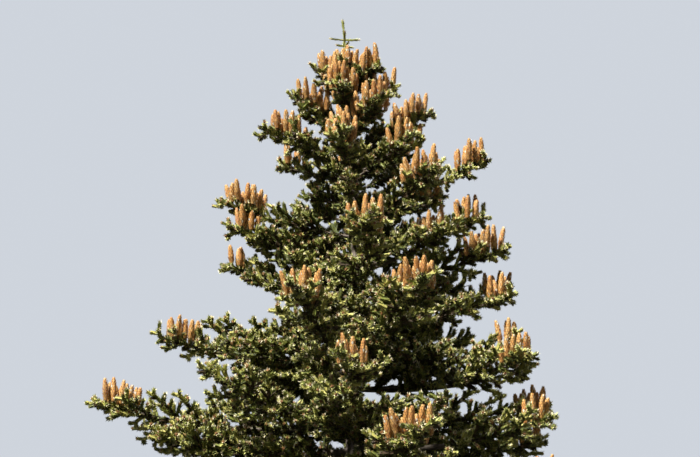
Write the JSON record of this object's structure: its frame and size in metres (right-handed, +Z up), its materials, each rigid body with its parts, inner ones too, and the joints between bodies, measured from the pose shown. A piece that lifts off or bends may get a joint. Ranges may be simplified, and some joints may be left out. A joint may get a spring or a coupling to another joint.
{
  "type": "greek fir tree",
  "caption": "Whole conical Greek fir with a straight tapering trunk, tiers of spreading boughs and clumps of upright seed cones near the tips of its upper boughs.",
  "frame": {"origin": "centre of the flat cut under the trunk, at ground level", "axes": "+Z up along the trunk, -Y towards the side seen in the picture, +X to that view's right"},
  "size_m": [4.4491, 4.3484, 8.5],
  "materials": {
    "bark": "grey-brown fir bark, finely cracked into plates, matt",
    "needles": "dark to olive green needles with paler yellow-green shoot tips, faint waxy sheen",
    "cones": "orange-tan seed cones of overlapping scales with white resin drops, matt",
    "twigs": "red-brown to grey twigs, matt"
  },
  "bodies": {
    "root": {"bough_low17_front": "bark", "bough_low18_back_right": "bark", "bough_low19_left": "bark", "bough_low20_front_right": "bark", "foliage_low01_front_left": "needles", "foliage_low02_right": "needles", "foliage_low03_back_left": "needles", "foliage_low04_front": "needles", "foliage_low05_back_right": "needles", "foliage_low06_left": "needles", "foliage_low07_front_right": "needles", "foliage_low08_back": "needles", "foliage_low09_front_left": "needles", "foliage_low10_right": "needles", "foliage_low11_back_left": "needles", "foliage_low12_front": "needles", "foliage_low13_back": "needles", "foliage_low14_left": "needles", "foliage_low15_front_right": "needles", "foliage_low16_back_left": "needles", "foliage_low17_front": "needles", "foliage_low18_back_right": "needles", "foliage_low19_left": "needles", "foliage_low20_front_right": "needles", "foliage_t1_front": "needles", "foliage_t1_left": "needles", "foliage_t1_right": "needles", "foliage_t2_back": "needles", "foliage_t2_front_right": "needles", "foliage_t2_left": "needles", "foliage_t2_right": "needles", "foliage_t3_back_right": "needles", "foliage_t3_front": "needles", "foliage_t3_left": "needles", "foliage_t3_right": "needles", "foliage_t4_back": "needles", "foliage_t4_back_left": "needles", "foliage_t4_front_right": "needles", "foliage_t4_right": "needles", "foliage_t5_back": "needles", "foliage_t5_front": "needles", "foliage_t5_left": "needles", "foliage_t5_right": "needles", "foliage_t6_back": "needles", "foliage_t6_front_left": "needles", "foliage_t6_front_right": "needles", "foliage_t6_left": "needles", "foliage_t6_right": "needles", "foliage_t7_back_left": "needles", "foliage_t7_front_left": "needles", "foliage_t7_front_right": "needles", "foliage_t7_left": "needles", "foliage_t7_right": "needles", "foliage_t8_back": "needles", "foliage_t8_front": "needles", "foliage_t8_front_right": "needles", "foliage_t8_left": "needles", "foliage_t8_right": "needles", "leading_shoot": "needles", "trunk": "bark"}
  },
  "joints": []
}
